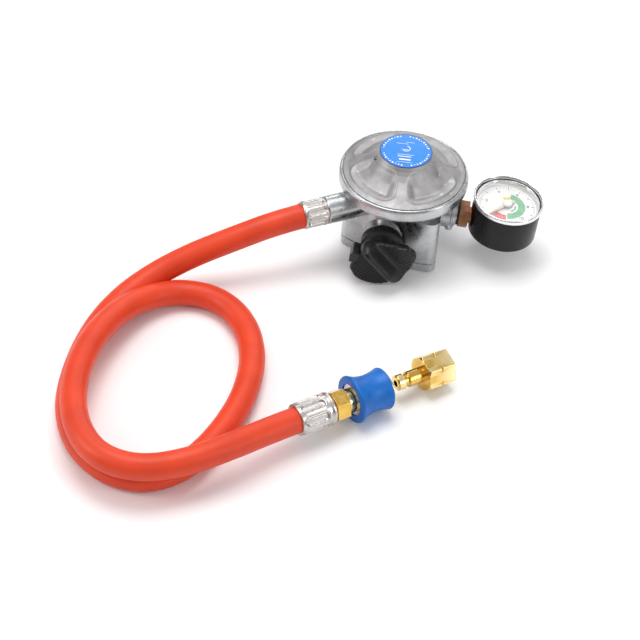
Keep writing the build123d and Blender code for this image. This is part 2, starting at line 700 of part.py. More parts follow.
with BuildPart() as coupler_body:
    with BuildSketch(coupler_section):
        outline((31.1, 6.05), (31.1, 7.0), (47, 7.0), (47, 8.6), (57.8, 8.6), (57.8, 7.6), (BODY_FRONT, 7.6),
                (BODY_FRONT, 5.4), (BODY_FRONT - 0.8, PLUG_BORE), (54.5, PLUG_BORE), (54.5, 6.5), (52.5, 6.5),
                (52.5, PLUG_BORE), (35, PLUG_BORE), (35, 6.05))
    revolve(axis=coupler_axis)
    for turn in range(4):
        with BuildSketch(Plane(origin=ball_centre, z_dir=coupler_spoke(45 + 90 * turn))):
            Circle(1.95)
        extrude(amount=10, mode=Mode.SUBTRACT)
coupler_body.part.label = "coupler_body"
export_step(coupler_body.part, "parts/coupler_body.step")

with BuildPart() as coupler_balls:
    for turn in range(4):
        with Locations(ball_centre + coupler_spoke(45 + 90 * turn) * 6.7):
            Sphere(1.88)
coupler_balls.part.label = "coupler_balls"
export_step(coupler_balls.part, "parts/coupler_balls.step")

with BuildPart() as coupler_ring:
    with BuildSketch(coupler_section):
        outline((57.9, 7.65), (57.9, 9.6), (58.9, 9.6), (BODY_FRONT, 9.0), (BODY_FRONT, 7.65))
    revolve(axis=coupler_axis)
coupler_ring.part.label = "coupler_ring"
export_step(coupler_ring.part, "parts/coupler_ring.step")

with BuildPart() as sleeve_clip:
    with BuildSketch(coupler_section):
        band(36.4, 37.4, 7.0, 9.2)
    revolve(axis=coupler_axis)
sleeve_clip.part.label = "sleeve_clip"
export_step(sleeve_clip.part, "parts/sleeve_clip.step")

with BuildPart() as sleeve_spring:
    coil(coupler_at(38.1), radius=8.15, wire=1.1, length=7.7, turns=4)
sleeve_spring.part.label = "sleeve_spring"
export_step(sleeve_spring.part, "parts/sleeve_spring.step")

with BuildPart() as coupler_sleeve:
    with BuildSketch(coupler_section):
        with BuildLine():
            waist = ThreePointArc((SLEEVE_BACK + 1.2, 14.0), (47.5, 10.9), (SLEEVE_FRONT - 0.8, 12.3))
            Polyline(waist @ 1, (SLEEVE_FRONT, 11.6), (SLEEVE_FRONT, 8.75), (46.5, 8.75), (46.5, 9.4),
                     (SLEEVE_BACK, 9.4), (SLEEVE_BACK, 13.6), waist @ 0)
        make_face()
    revolve(axis=coupler_axis)
coupler_sleeve.part.label = "coupler_sleeve"
export_step(coupler_sleeve.part, "parts/coupler_sleeve.step")

with BuildPart() as coupler_seal:
    with BuildSketch(coupler_section):
        with Locations((53.5, 5.63)):
            Circle(0.8)
    revolve(axis=coupler_axis)
coupler_seal.part.label = "coupler_seal"
export_step(coupler_seal.part, "parts/coupler_seal.step")

with BuildPart() as coupler_poppet:
    with BuildSketch(coupler_section):
        outline((38, 0), (38, 1.2), (41.8, 1.2), (41.8, 4.4), (43.8, 4.4), (44.8, 3.2), (44.8, 0))
    revolve(axis=coupler_axis)
coupler_poppet.part.label = "coupler_poppet"
export_step(coupler_poppet.part, "parts/coupler_poppet.step")

with BuildPart() as poppet_spring:
    coil(coupler_at(35.5), radius=3.3, wire=0.7, length=5.8, turns=4)
poppet_spring.part.label = "poppet_spring"
export_step(poppet_spring.part, "parts/poppet_spring.step")

# ================================================================ plug
with BuildPart() as plug:
    with BuildSketch(coupler_section):
        outline((PLUG_TIP, 0), (PLUG_TIP, 3.8), (PLUG_TIP + 0.7, PLUG_R), (70, PLUG_R), (70.8, 3.5), (72.4, 3.5),
                (73.2, PLUG_R), (PLUG_HEX + 1, PLUG_R), (PLUG_HEX + 1, 0))
    revolve(axis=coupler_axis)
    with BuildSketch(coupler_at(PLUG_HEX)):
        RegularPolygon(9.5, 6, major_radius=False, rotation=15)
    extrude(amount=PLUG_END - PLUG_HEX)
    # turned ends, the notches that mark a left-hand thread, the bore and the thread
    with BuildSketch(coupler_section):
        outline((PLUG_HEX - 1, 8.6), (PLUG_HEX + 2, 12), (PLUG_HEX - 1, 12))
        outline((PLUG_END + 1, 9.4), (PLUG_END - 1.2, 12), (PLUG_END + 1, 12))
        outline((90.3, 12), (91.3, 9.8), (92.3, 12))
        band(PLUG_TIP - 1, PLUG_END, 0, 2.0)
        band(88.5, 90.1, 0, 7.9)
        band(90, PLUG_END + 1, 0, 7.5)
    revolve(axis=coupler_axis, mode=Mode.SUBTRACT)
plug.part.label = "plug"
export_step(plug.part, "parts/plug.step")

with BuildPart() as plug_washer:
    with BuildSketch(coupler_section):
        band(88.55, 90.0, 2.6, 7.7)
    revolve(axis=coupler_axis)
plug_washer.part.label = "plug_washer"
export_step(plug_washer.part, "parts/plug_washer.step")
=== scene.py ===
"""Looks of the propane regulator, its hose, quick coupler and plug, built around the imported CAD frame."""

from math import cos, degrees, exp, hypot, pi, radians, sin, tan

import bmesh
import bpy
from mathutils import Matrix, Vector


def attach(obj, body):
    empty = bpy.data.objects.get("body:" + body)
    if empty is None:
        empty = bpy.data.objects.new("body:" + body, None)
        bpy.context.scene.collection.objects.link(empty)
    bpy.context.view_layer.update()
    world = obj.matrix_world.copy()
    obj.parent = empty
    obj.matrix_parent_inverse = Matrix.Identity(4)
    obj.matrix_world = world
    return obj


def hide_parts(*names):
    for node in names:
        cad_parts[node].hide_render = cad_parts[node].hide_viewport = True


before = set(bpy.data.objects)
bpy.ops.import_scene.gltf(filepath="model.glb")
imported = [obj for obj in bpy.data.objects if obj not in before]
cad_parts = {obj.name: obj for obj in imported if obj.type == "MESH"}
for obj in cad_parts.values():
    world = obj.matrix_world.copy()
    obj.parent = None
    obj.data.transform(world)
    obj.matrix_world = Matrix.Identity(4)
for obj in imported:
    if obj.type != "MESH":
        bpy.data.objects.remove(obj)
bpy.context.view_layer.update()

MM = 0.001

# ------------------------------------------------------------------ the design's places, in mm and degrees
KNOB_X, KNOB_Z = -8.0, 20.5
GAUGE_PORT = Vector((34.5, 0, 27))
GAUGE_REACH = 28.7
GAUGE_DROOP = 4.0
OUTLET_ANGLE = 209.5
OUTLET_Z = 38.5
COUPLER_ANGLE = 37.7
COUPLER_DROOP = 3.0


def axes(origin, forward, side):
    """Matrix whose Z runs along forward and whose X is near side, at origin."""
    forward = Vector(forward).normalized()
    side = (Vector(side) - forward * Vector(side).dot(forward)).normalized()
    across = forward.cross(side)
    matrix = Matrix((side, across, forward)).transposed().to_4x4()
    matrix.translation = Vector(origin)
    return matrix


def add_object(name, data):
    """A new object holding the data, linked into the scene."""
    made = bpy.data.objects.new(name, data)
    bpy.context.collection.objects.link(made)
    return made


port_dir = Vector((cos(radians(GAUGE_DROOP)), 0, -sin(radians(GAUGE_DROOP))))
gauge_up = Vector((sin(radians(GAUGE_DROOP)), 0, cos(radians(GAUGE_DROOP))))
outlet_dir = Vector((cos(radians(OUTLET_ANGLE)), sin(radians(OUTLET_ANGLE)), 0))
coupler_dir = Vector((cos(radians(COUPLER_ANGLE)), sin(radians(COUPLER_ANGLE)),
                      -tan(radians(COUPLER_DROOP))))
coupler_dir.normalize()
coupler_side = Vector((-sin(radians(COUPLER_ANGLE)), cos(radians(COUPLER_ANGLE)), 0))
coupler_origin = Vector((-41.5, -175.3, 16.0))

UPRIGHT = axes((0, 0, 0), (0, 0, 1), (1, 0, 0))
KNOB = axes((KNOB_X, 0, KNOB_Z), (0, -1, 0), (1, 0, 0))
GAUGE = axes(GAUGE_PORT + port_dir * GAUGE_REACH, gauge_up, port_dir)
OUTLET = axes((0, 0, OUTLET_Z), outlet_dir, (0, 0, 1))
COUPLER = axes(coupler_origin, coupler_dir, coupler_side)

# ------------------------------------------------------------------ camera
PITCH, ROLL, TURN = radians(44.36), radians(3.9), radians(4.0)
DISTANCE = 1.124
FOCAL_LENGTH = 107.24
AIM = Vector((-0.04405, -0.07591, 0))
camera_data = bpy.data.cameras.new("camera")
camera_data.sensor_width = 36
camera_data.lens = FOCAL_LENGTH
camera_data.clip_end = 20
camera = add_object("camera", camera_data)
looking = Vector((0, cos(PITCH), -sin(PITCH)))
lifted = Vector((0, sin(PITCH), cos(PITCH)))
right = Vector((1, 0, 0)) * cos(ROLL) + lifted * sin(ROLL)
above = lifted * cos(ROLL) - Vector((1, 0, 0)) * sin(ROLL)
pose = Matrix((right, above, -looking)).transposed().to_4x4()
pose.translation = AIM - looking * DISTANCE
camera.matrix_world = Matrix.Rotation(TURN, 4, "Z") @ pose
bpy.context.scene.camera = camera


# ------------------------------------------------------------------ materials
def surface(name, base, dark, metallic=0.0, rough=0.5, spread=0.1, mottle=120, grain=2500,
            depth=0.02, wear=None, coat=0.0, soften=0.35, specular=0.5):
    """A procedural surface: two mottled tones, uneven gloss, fine grain and softened, worn edges."""
    material = bpy.data.materials.new(name)
    material.use_nodes = True
    tree = material.node_tree
    nodes, links = tree.nodes, tree.links
    shader = nodes["Principled BSDF"]
    shader.inputs["Metallic"].default_value = metallic
    shader.inputs["Coat Weight"].default_value = coat
    shader.inputs["Coat Roughness"].default_value = 0.15
    shader.inputs["Specular IOR Level"].default_value = specular
    coordinates = nodes.new("ShaderNodeTexCoord")

    def noise(scale, detail):
        """A noise pattern fixed to the object."""
        node = nodes.new("ShaderNodeTexNoise")
        node.inputs["Scale"].default_value = scale
        node.inputs["Detail"].default_value = detail
        links.new(coordinates.outputs["Object"], node.inputs["Vector"])
        return node.outputs["Fac"]

    tone = nodes.new("ShaderNodeValToRGB")
    tone.color_ramp.elements[0].position = 0.32
    tone.color_ramp.elements[0].color = (*dark, 1)
    tone.color_ramp.elements[1].position = 0.66
    tone.color_ramp.elements[1].color = (*base, 1)
    links.new(noise(mottle, 6), tone.inputs["Fac"])
    colour = tone.outputs["Color"]
    if wear:
        geometry = nodes.new("ShaderNodeNewGeometry")
        edge = nodes.new("ShaderNodeMapRange")
        edge.inputs["From Min"].default_value = 0.52
        edge.inputs["From Max"].default_value = 0.60
        links.new(geometry.outputs["Pointiness"], edge.inputs["Value"])
        mix = nodes.new("ShaderNodeMix")
        mix.data_type = "RGBA"
        mix.inputs["B"].default_value = (*wear, 1)
        links.new(edge.outputs["Result"], mix.inputs["Factor"])
        links.new(colour, mix.inputs["A"])
        colour = mix.outputs["Result"]
    links.new(colour, shader.inputs["Base Color"])
    gloss = nodes.new("ShaderNodeMapRange")
    gloss.inputs["From Min"].default_value = 0.3
    gloss.inputs["From Max"].default_value = 0.7
    gloss.inputs["To Min"].default_value = max(rough - spread, 0.03)
    gloss.inputs["To Max"].default_value = rough + spread
    links.new(noise(mottle * 3, 4), gloss.inputs["Value"])
    links.new(gloss.outputs["Result"], shader.inputs["Roughness"])
    bump = nodes.new("ShaderNodeBump")
    bump.inputs["Strength"].default_value = 0.6
    bump.inputs["Distance"].default_value = depth * MM
    links.new(noise(grain, 3), bump.inputs["Height"])
    if soften:
        round_edge = nodes.new("ShaderNodeBevel")
        round_edge.samples = 4
        round_edge.inputs["Radius"].default_value = soften * MM
        links.new(round_edge.outputs["Normal"], bump.inputs["Normal"])
    links.new(bump.outputs["Normal"], shader.inputs["Normal"])
    return material


def paint(name, base, dark, rough=0.5, mottle=300):
    """A smooth printed or painted surface."""
    return surface(name, base, dark, rough=rough, spread=0.05, mottle=mottle, grain=4000, depth=0.01)


zinc = surface("zinc", (0.54, 0.55, 0.56), (0.40, 0.41, 0.42), metallic=1.0, rough=0.30, spread=0.07,
               mottle=90, grain=1400, depth=0.015)
zinc_sand = surface("zinc_sand", (0.42, 0.41, 0.415), (0.31, 0.302, 0.305), metallic=0.85, rough=0.54,
                    spread=0.06, mottle=140, grain=2400, depth=0.10, wear=(0.62, 0.62, 0.6))
steel = surface("steel", (0.66, 0.66, 0.66), (0.5, 0.5, 0.5), metallic=1.0, rough=0.28, spread=0.08,
                mottle=200, grain=3000, depth=0.02)
ferrule_steel = surface("ferrule_steel", (0.62, 0.59, 0.57), (0.50, 0.47, 0.45), metallic=1.0, rough=0.30,
                        spread=0.05, mottle=150, grain=2000, depth=0.006)
brass = surface("brass", (0.78, 0.52, 0.14), (0.62, 0.37, 0.07), metallic=1.0, rough=0.18, spread=0.07,
                mottle=130, grain=4000, depth=0.015, wear=(0.98, 0.80, 0.42))
bronze = surface("bronze", (0.36, 0.17, 0.085), (0.20, 0.085, 0.04), metallic=0.7, rough=0.42, spread=0.1,
                 mottle=160, grain=2500, depth=0.04, wear=(0.55, 0.30, 0.17))
black_plastic = surface("black_plastic", (0.006, 0.006, 0.0065), (0.003, 0.003, 0.0035), rough=0.36,
                        spread=0.07, mottle=200, grain=3500, depth=0.03, wear=(0.014, 0.014, 0.015),
                        specular=0.35)
case_black = surface("case_black", (0.005, 0.004, 0.005), (0.003, 0.002, 0.003), rough=0.30, spread=0.05,
                     mottle=60, grain=5000, depth=0.01, specular=0.28)
bezel_metal = surface("bezel_metal", (0.86, 0.86, 0.87), (0.74, 0.74, 0.75), metallic=0.9, rough=0.14,
                      spread=0.05, mottle=80, grain=3000, depth=0.01)
dial_paint = surface("dial_paint", (0.90, 0.90, 0.88), (0.84, 0.84, 0.82), rough=0.45, spread=0.05,
                     mottle=60, grain=3000, depth=0.01)
ink = paint("ink", (0.10, 0.10, 0.11), (0.07, 0.07, 0.07), mottle=400)
zone_green = paint("zone_green", (0.30, 0.58, 0.38), (0.25, 0.50, 0.32))
zone_yellow = paint("zone_yellow", (0.84, 0.66, 0.14), (0.76, 0.57, 0.10))
zone_red = paint("zone_red", (0.76, 0.24, 0.24), (0.68, 0.19, 0.19))
white_paint = paint("white_paint", (0.88, 0.88, 0.87), (0.80, 0.80, 0.79), rough=0.4)
pointer_paint = paint("pointer_paint", (0.80, 0.70, 0.60), (0.70, 0.6, 0.5), rough=0.4)
label_blue = surface("label_blue", (0.018, 0.23, 0.70), (0.014, 0.20, 0.63), rough=0.42, spread=0.06,
                     mottle=200, grain=3500, depth=0.02)
label_rim = surface("label_rim", (0.012, 0.06, 0.28), (0.01, 0.045, 0.2), rough=0.45, spread=0.06,
                    mottle=200, grain=3500, depth=0.02)
blue_sleeve = surface("blue_sleeve", (0.004, 0.145, 0.52), (0.003, 0.108, 0.43), metallic=0.1, rough=0.42,
                      spread=0.07, mottle=110, grain=1800, depth=0.05, wear=(0.03, 0.17, 0.72),
                      specular=0.35)
hose_rubber = surface("hose_rubber", (0.72, 0.055, 0.013), (0.62, 0.042, 0.010), rough=0.44, spread=0.06,
                      mottle=45, grain=1600, depth=0.04, soften=0, specular=0.35)
rubber = surface("rubber", (0.014, 0.014, 0.015), (0.008, 0.008, 0.008), rough=0.6, spread=0.08,
                 mottle=200, grain=2500, depth=0.04)


def clear_glass():
    """Clear lens with a faint unevenness."""
    material = surface("clear_glass", (1, 1, 1), (0.995, 0.995, 0.995), rough=0.04, spread=0.01,
                       mottle=20, grain=400, depth=0.001, soften=0)
    shader = material.node_tree.nodes["Principled BSDF"]
    shader.inputs["Transmission Weight"].default_value = 1.0
    shader.inputs["IOR"].default_value = 1.12
    return material


lens_glass = clear_glass()

CAD_MATERIALS = {
    zinc: ("base_cover", "body_casting", "outlet_tail", "diaphragm_plate"),
    steel: ("cover_screws", "locking_collar", "locking_balls", "cam_shaft", "knob_screw", "lever_pin",
            "lever", "pressure_spring", "coupler_balls", "sleeve_clip", "sleeve_spring", "poppet_spring"),
    brass: ("opening_pin", "spindle_bush", "inlet_nozzle", "bourdon_tube", "gauge_movement",
            "pointer_shaft", "coupler_tail", "coupler_body", "coupler_ring", "coupler_poppet", "plug"),
    bronze: ("gauge_connector",),
    rubber: ("valve_seal", "spindle_seal", "seat_pad", "diaphragm", "gauge_washer", "coupler_seal",
             "plug_washer"),
    black_plastic: ("adjuster_cap",),
    pointer_paint: ("gauge_pointer",),
}
for finish, names in CAD_MATERIALS.items():
    for node_name in names:
        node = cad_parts[node_name]
        node.data.materials.clear()
        node.data.materials.append(finish)


# ------------------------------------------------------------------ mesh helpers
def place(name, verts, faces, matrix, material, body, replaced=(), smooth=35):
    """Makes a piece from points in mm in a matrix's frame, and rides it on a body."""
    mesh = bpy.data.meshes.new(name)
    mesh.from_pydata([(matrix @ Vector(v)) * MM for v in verts], [], faces)
    tidy = bmesh.new()
    tidy.from_mesh(mesh)
    bmesh.ops.remove_doubles(tidy, verts=tidy.verts, dist=1e-6)
    bmesh.ops.recalc_face_normals(tidy, faces=tidy.faces)
    tidy.to_mesh(mesh)
    tidy.free()
    mesh.shade_smooth()
    mesh.set_sharp_from_angle(angle=radians(smooth))
    mesh.materials.append(material)
    piece = add_object(name, mesh)
    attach(piece, body)
    if replaced:
        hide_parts(*replaced)
    return piece


def rounded(profile, size):
    """The profile with each inner corner cut into a small three-step round."""
    points = [Vector(p) for p in profile]
    result = [points[0]]
    for before, corner, after in zip(points, points[1:], points[2:]):
        a, b = before - corner, after - corner
        reach = min(size, a.length * 0.45, b.length * 0.45)
        start, end = corner + a.normalized() * reach, corner + b.normalized() * reach
        for t in (0, 0.25, 0.5, 0.75, 1):
            result.append(start.lerp(corner, t).lerp(corner.lerp(end, t), t))
    return result + [points[-1]]


def ring_faces(steps, count):
    """Faces joining closed rings of columns, each column holding count points."""
    faces = []
    for i in range(steps):
        for j in range(count - 1):
            a, b = i * count + j, (i + 1) % steps * count + j
            faces.append((a, b, b + 1, a + 1))
    return faces


def lathe(name, profile, matrix, material, body, replaced=(), steps=128, size=0.5, shape=None,
          smooth=35):
    """Turns a profile of (along, radius) points; shape(along, radius, angle) may change the radius."""
    outline = rounded(profile, size)
    verts = []
    for i in range(steps):
        angle = 2 * pi * i / steps
        for along, radius in outline:
            reach = shape(along, radius, angle) if shape else radius
            verts.append((reach * cos(angle), reach * sin(angle), along))
    faces = ring_faces(steps, len(outline))
    return place(name, verts, faces, matrix, material, body, replaced, smooth)


def prism(name, corners, low, high, matrix, material, body, bevel=0.3):
    """An upright solid on a polygon, with rounded edges."""
    count = len(corners)
    verts = [(x, y, low) for x, y in corners] + [(x, y, high) for x, y in corners]
    faces = [tuple(range(count)), tuple(range(count, 2 * count))]
    faces += [(i, (i + 1) % count, (i + 1) % count + count, i + count) for i in range(count)]
    piece = place(name, verts, faces, matrix, material, body)
    if bevel:
        rounding = piece.modifiers.new("rounding", "BEVEL")
        rounding.width = bevel * MM
        rounding.segments = 3
    return piece


PRINT_THICKNESS = 0.05


def sector(name, inner, outer, start, end, height, matrix, material, body):
    """A thin flat ring sector, from start to end degrees."""
    steps = max(int(abs(end - start) / 4), 2)
    verts, faces = [], []
    for i in range(steps + 1):
        angle = radians(start + (end - start) * i / steps)
        for radius in (inner, outer):
            for level in (height, height + PRINT_THICKNESS):
                verts.append((radius * cos(angle), radius * sin(angle), level))
    for i in range(steps):
        a, b = 4 * i, 4 * i + 4
        faces += [(a, b, b + 2, a + 2), (a + 1, b + 1, b + 3, a + 3), (a, b, b + 1, a + 1),
                  (a + 2, b + 2, b + 3, a + 3)]
    faces += [(0, 1, 3, 2), (4 * steps, 4 * steps + 1, 4 * steps + 3, 4 * steps + 2)]
    return place(name, verts, faces, matrix, material, body)


def step_blend(value, low, high):
    """Smooth 0 to 1 between low and high."""
    t = min(max((value - low) / (high - low), 0), 1)
    return t * t * (3 - 2 * t)


def along_table(table, value):
    """Smooth value from a short list of (place, value) points."""
    for (a, va), (b, vb) in zip(table, table[1:]):
        if value <= b:
            return va + (vb - va) * step_blend(value, a, b)
    return table[-1][1]


def along_table_linear(table, value):
    """Straight-line value from a short list of (place, value) points."""
    for (a, va), (b, vb) in zip(table, table[1:]):
        if value <= b:
            t = max(value - a, 0) / (b - a)
            return va + (vb - va) * t
    return table[-1][1]


def dense(start, end, radius, count):
    """A straight stretch of a turned profile, split finely enough to be shaped."""
    return [(start + (end - start) * i / count, radius) for i in range(count + 1)]


# ------------------------------------------------------------------ hose
HOSE_START = 50.6
ROUTE = [
    tuple(Vector((0, 0, OUTLET_Z)) + outlet_dir * HOSE_START),
    tuple(Vector((0, 0, OUTLET_Z)) + outlet_dir * 78),
    (-95, -51, 31),
    (-119, -60, 22),
    (-140, -72, 13.5),
    (-156, -90, 8.5),
    (-166, -116, 7.5),
    (-170, -146, 7.5),
    (-169, -177, 7.5),
    (-158, -204, 7.5),
    (-138, -221, 7.5),
    (-116, -224, 7.5),
    (-96, -211, 7.5),
    (-81, -184, 7.5),
    (-72, -152, 7.5),
    (-72, -120, 7.5),
    (-82, -94, 7.5),
    (-100, -78, 7.5),
    (-122, -76, 7.8),
    (-142, -89, 11.5),
    (-156, -114, 18),
    (-164, -145, 23),
    (-165, -178, 23.2),
    (-157, -206, 23.2),
    (-141, -225, 23.2),
    (-118, -230, 23.2),
    (-94, -221, 23.2),
    (-72, -204, 21.5),
    tuple(coupler_origin + coupler_dir * -11),
    tuple(coupler_origin + coupler_dir * 12),
]
HOSE_RADIUS = 7.5


def make_hose():
    """The hose as one NURBS line along the CAD hose's own route."""
    curve = bpy.data.curves.new("hose_line", "CURVE")
    curve.dimensions = "3D"
    spline = curve.splines.new("NURBS")
    spline.points.add(len(ROUTE) - 1)
    for point, spot in zip(spline.points, ROUTE):
        point.co = (*(Vector(spot) * MM), 1)
    spline.order_u = 3
    spline.use_endpoint_u = True
    spline.resolution_u = 12
    curve.bevel_depth = HOSE_RADIUS * MM
    curve.bevel_resolution = 12
    curve.use_fill_caps = True
    curve.materials.append(hose_rubber)
    hose = add_object("rubber_hose", curve)
    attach(hose, "root")
    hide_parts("hose")
    return hose


hose = make_hose()


# ------------------------------------------------------------------ crimped ferrules
def crimp(first, last, count, base, dent, width):
    """Radius rule for a ferrule with stadium-shaped dents between first and last along it."""
    middle, half = (first + last) / 2, (last - first) / 2 - width / 2

    def shape(along, radius, angle):
        """Radius after the nearest dent and its raised lip."""
        if radius < base - 0.5:
            return radius
        pitch = 2 * pi / count
        off = ((angle + pitch / 2) % pitch - pitch / 2) * base
        along_off = max(abs(along - middle) - half, 0)
        away = hypot(off, along_off)
        press = 1 - step_blend(away, width / 2 - 0.8, width / 2)
        lip = exp(-((away - width / 2 - 0.25) / 0.45) ** 2)
        return radius - dent * press + 0.24 * lip
    return shape


FERRULE_BORE = HOSE_RADIUS + 0.05
outlet_ferrule = lathe(
    "outlet_crimp_ferrule",
    [(HOSE_START, FERRULE_BORE), (HOSE_START, 8.1)] + dense(51.0, 65.0, 8.3, 56)
    + [(65.5, 8.0), (65.5, FERRULE_BORE)],
    OUTLET, ferrule_steel, "root", ("outlet_ferrule",), steps=240, size=0.25,
    shape=crimp(52.0, 64.2, 8, 8.3, 0.7, 4.3))
coupler_ferrule = lathe(
    "coupler_crimp_ferrule",
    [(0, FERRULE_BORE), (0, 8.6)] + dense(0.4, 19.0, 9.1, 58)
    + [(19.4, 9.3), (20.0, 9.65), (21.2, 9.65), (21.6, 9.2), (21.6, 5.3)],
    COUPLER, ferrule_steel, "root", ("coupler_ferrule",), steps=240, size=0.25,
    shape=crimp(1.8, 17.0, 7, 9.1, 1.3, 5.2))

# ------------------------------------------------------------------ blue sleeve
SLEEVE_BACK, SLEEVE_FRONT = 35.7, 57.6
WAIST_START, WAIST_LENGTH, WAIST_STEPS = 36.8, 20, 14
WAIST_R, NARROWEST = 10.9, 0.53
BACK_FLARE, FRONT_FLARE = 3.1, 1.45


def waist_radius(share):
    """Radius of the sleeve's waist, from 0 at its back to 1 at its front."""
    if share < NARROWEST:
        return WAIST_R + BACK_FLARE * ((NARROWEST - share) / NARROWEST) ** 2
    return WAIST_R + FRONT_FLARE * ((share - NARROWEST) / (1 - NARROWEST)) ** 2


waist = [(WAIST_START + WAIST_LENGTH * i / WAIST_STEPS, waist_radius(i / WAIST_STEPS))
         for i in range(WAIST_STEPS + 1)]
sleeve = lathe(
    "blue_grip_sleeve",
    [(SLEEVE_BACK, 9.4), (SLEEVE_BACK, 13.5)] + waist
    + [(SLEEVE_FRONT, 11.9), (SLEEVE_FRONT, 8.8), (46.6, 8.8), (46.6, 9.4), (SLEEVE_BACK, 9.4)],
    COUPLER, blue_sleeve, "coupler_sleeve", ("coupler_sleeve",), steps=160, size=0.6)


# ------------------------------------------------------------------ regulator lid
HUB_R, HUB_TOP = 15.2, 70.0
LID_BORE, LID_R = 13.4, 36.3
LID_PROFILE = [(HUB_R, HUB_TOP), (15.9, 69.3), (16.8, 67.6), (18.4, 65.7), (21.5, 63.3), (26.0, 60.6),
               (31.0, 57.8), (33.6, 56.5), (LID_R, 55.6)]
SPOKE_PITCH = 90
RECESS_DEPTH, RECESS_R, RECESS_CORNER = 2.3, 25.0, 4.2
RIDGE_HEIGHT = 0.42


def lid_height(radius, angle):
    """Height of the lid's top, with four rounded recesses between its four spokes."""
    height = along_table_linear(LID_PROFILE, radius)
    off = abs((degrees(angle) % SPOKE_PITCH) - SPOKE_PITCH / 2)
    reach_x = radians(off) * 26 - (12.4 - 1.2 * ((radius - 25.5) / 8) ** 2)
    reach_y = abs(radius - RECESS_R) - 3.0
    corner = hypot(max(reach_x, 0), max(reach_y, 0)) + min(max(reach_x, reach_y), 0) - RECESS_CORNER
    ridge = RIDGE_HEIGHT * exp(-((corner - 0.5) / 0.55) ** 2)
    return height - RECESS_DEPTH * step_blend(-corner, 0.0, 4.8) + ridge


def make_lid():
    """The cast lid, from its hub's bore out to its edge and down inside the rim."""
    steps, rings = 360, 110
    radii = [LID_BORE] + [15.0 + 21.3 * i / rings for i in range(rings + 1)]
    verts = []
    for i in range(steps):
        angle = 2 * pi * i / steps
        column = [(LID_BORE, 66.0)]
        column += [(r, HUB_TOP if r < HUB_R else lid_height(r, angle)) for r in radii]
        column += [(LID_R, 54.0), (36.0, 51.0)]
        verts += [(r * cos(angle), r * sin(angle), z) for r, z in column]
    faces = ring_faces(steps, len(radii) + 3)
    return place("cast_lid", verts, faces, UPRIGHT, zinc_sand, "root", ("cover_lid",),
                 smooth=50)


make_lid()
lathe("crimped_rim", [(48.4, 37.6), (48.4, 38.6), (49.4, 38.9), (54.0, 38.9), (55.6, 38.2), (55.9, 37.5),
                      (55.3, 36.7), (54.6, 36.6)],
      UPRIGHT, zinc, "root", steps=200, size=0.6)
lathe("lid_groove_shadow", [(54.75, 36.2), (54.75, 36.75), (54.6, 36.8)],
      UPRIGHT, rubber, "root", steps=160, size=0.05)

# small details of the casting and lid that have no CAD solid of their own
lathe("gauge_boss_step", [(-3.6, 7.3), (-3.6, 9.6), (-2.4, 9.6), (-2.2, 8.4), (-0.6, 8.4), (-0.4, 7.35)],
      axes(GAUGE_PORT, port_dir, (0, 1, 0)), zinc, "root", steps=96, size=0.3)
lathe("port_drain_stub", [(19.4, 0), (19.4, 1.9), (20.4, 2.4), (27.0, 2.4), (27.0, 0)],
      axes((30.4, -6.6, 0), (0, 0, 1), (1, 0, 0)), zinc, "root", steps=48, size=0.5)
lathe("lid_vent_eyelet", [(-0.6, 0.7), (0.35, 0.7), (0.55, 1.0), (0.35, 1.35), (-0.6, 1.35)],
      axes((-17.0, -5.0, 66.2), (-0.55, -0.15, 0.8), (1, 0, 0)), rubber, "root",
      steps=40, size=0.1)

# ------------------------------------------------------------------ label on the hub
LABEL_LOW, LABEL_TOP = 70.02, 70.45
LABEL_DOTS = 44
lathe("hub_label", [(LABEL_LOW, 0), (LABEL_LOW, HUB_R), (LABEL_TOP, HUB_R), (LABEL_TOP, 0)],
      UPRIGHT, label_blue, "root", ("label_disc",), steps=128, size=0.15)
lathe("label_rim_ring", [(LABEL_LOW, 15.15), (LABEL_LOW, 15.6), (70.42, 15.6), (70.42, 15.15)],
      UPRIGHT, label_rim, "root", steps=128, size=0.08)


def mark_row(number, x, y, length, thickness):
    """A plain printed bar on the label, standing for a line of print."""
    corners = [(x - length / 2, y - thickness / 2), (x + length / 2, y - thickness / 2),
               (x + length / 2, y + thickness / 2), (x - length / 2, y + thickness / 2)]
    prism(f"label_line_{number}", corners, LABEL_TOP, 70.5, UPRIGHT, white_paint, "root",
          bevel=0)


# each bar's centre, length and thickness
ROWS = [(0, -8.2, 7.0, 1.2), (-0.5, -5.4, 8.0, 0.7), (0, -3.6, 10, 0.35), (-2.6, 6.4, 7.0, 0.35),
        (2.0, 8.0, 5.0, 0.3), (0, -10.6, 9.0, 0.3)]
for number, (x, y, length, thickness) in enumerate(ROWS):
    mark_row(number, x, y, length, thickness)
for number, (inner, outer) in enumerate(((1.0, 1.45), (2.1, 2.6))):
    sector(f"label_sign_{number}", inner, outer, 200, 340 + 100 * number, LABEL_TOP,
           axes((0, 2.0, 0), (0, 0, 1), (1, 0, 0)), white_paint, "root")
for number in range(LABEL_DOTS):
    angle = number * 360 / LABEL_DOTS
    if number % 11 not in (0, 1):
        sector(f"label_dot_{number:02d}", 13.1, 13.7 + 0.3 * (number % 3), angle, angle + 4.2,
               LABEL_TOP, UPRIGHT, white_paint, "root")

# ------------------------------------------------------------------ knob
RIBS = 72
RIB_DEPTH = 0.28


def ribbed_skirt(along, radius, angle):
    """Radius rule for the skirt: fine ribs round its side, fading out at its front edge."""
    if radius < 12.5 or along > 30.6:
        return radius
    return radius - RIB_DEPTH * (0.5 + 0.5 * cos(RIBS * angle)) * step_blend(30.8 - along, 0, 0.6)


